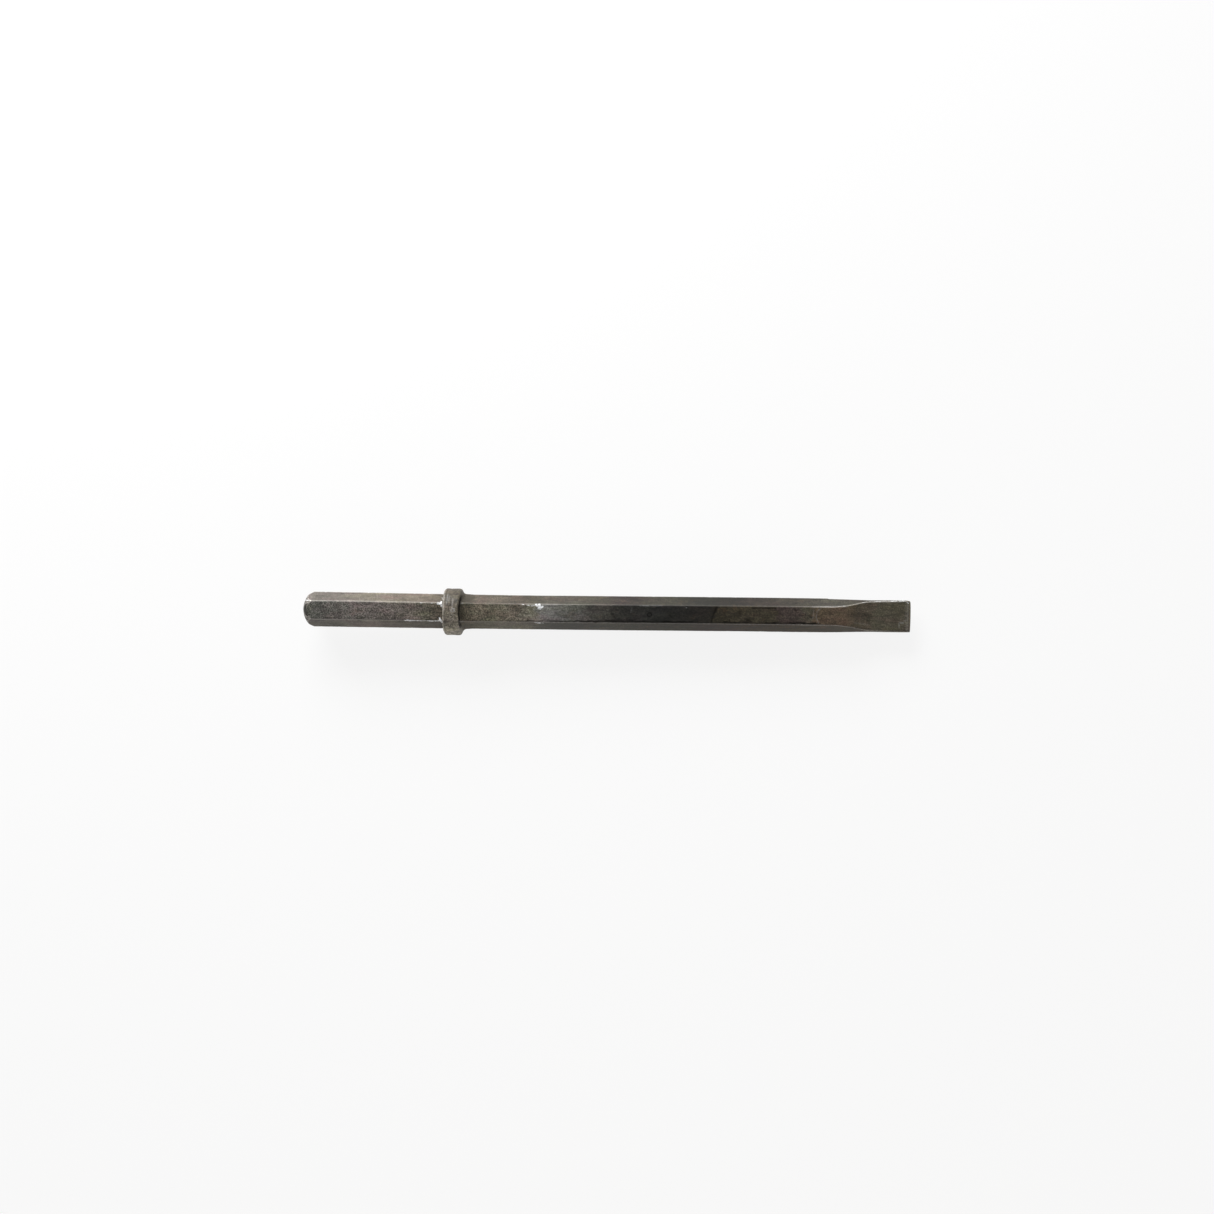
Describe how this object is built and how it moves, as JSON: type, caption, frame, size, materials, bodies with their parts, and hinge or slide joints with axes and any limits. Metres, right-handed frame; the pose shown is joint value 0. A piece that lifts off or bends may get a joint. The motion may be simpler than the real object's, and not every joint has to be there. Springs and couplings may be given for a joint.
{
  "type": "hexagonal collared chisel",
  "caption": "Forged hexagonal steel chisel with a plain striking shank, a round collar, a long hexagonal bar and a flat blade with a ground cutting edge.",
  "frame": {"origin": "centre of the collar's flat seat, on the shank side, on the bar's axis", "axes": "+X along the bar towards the cutting edge, +Z square to the broad face of the blade and to one pair of hexagon flats, +Y across the blade's width"},
  "size_m": [0.66, 0.0504, 0.0504],
  "materials": {
    "forged_steel": "dark oxidised forging scale, rough and pitted, rubbed bright along the ridges and rims"
  },
  "bodies": {
    "root": {"chisel": "forged_steel"}
  },
  "joints": []
}
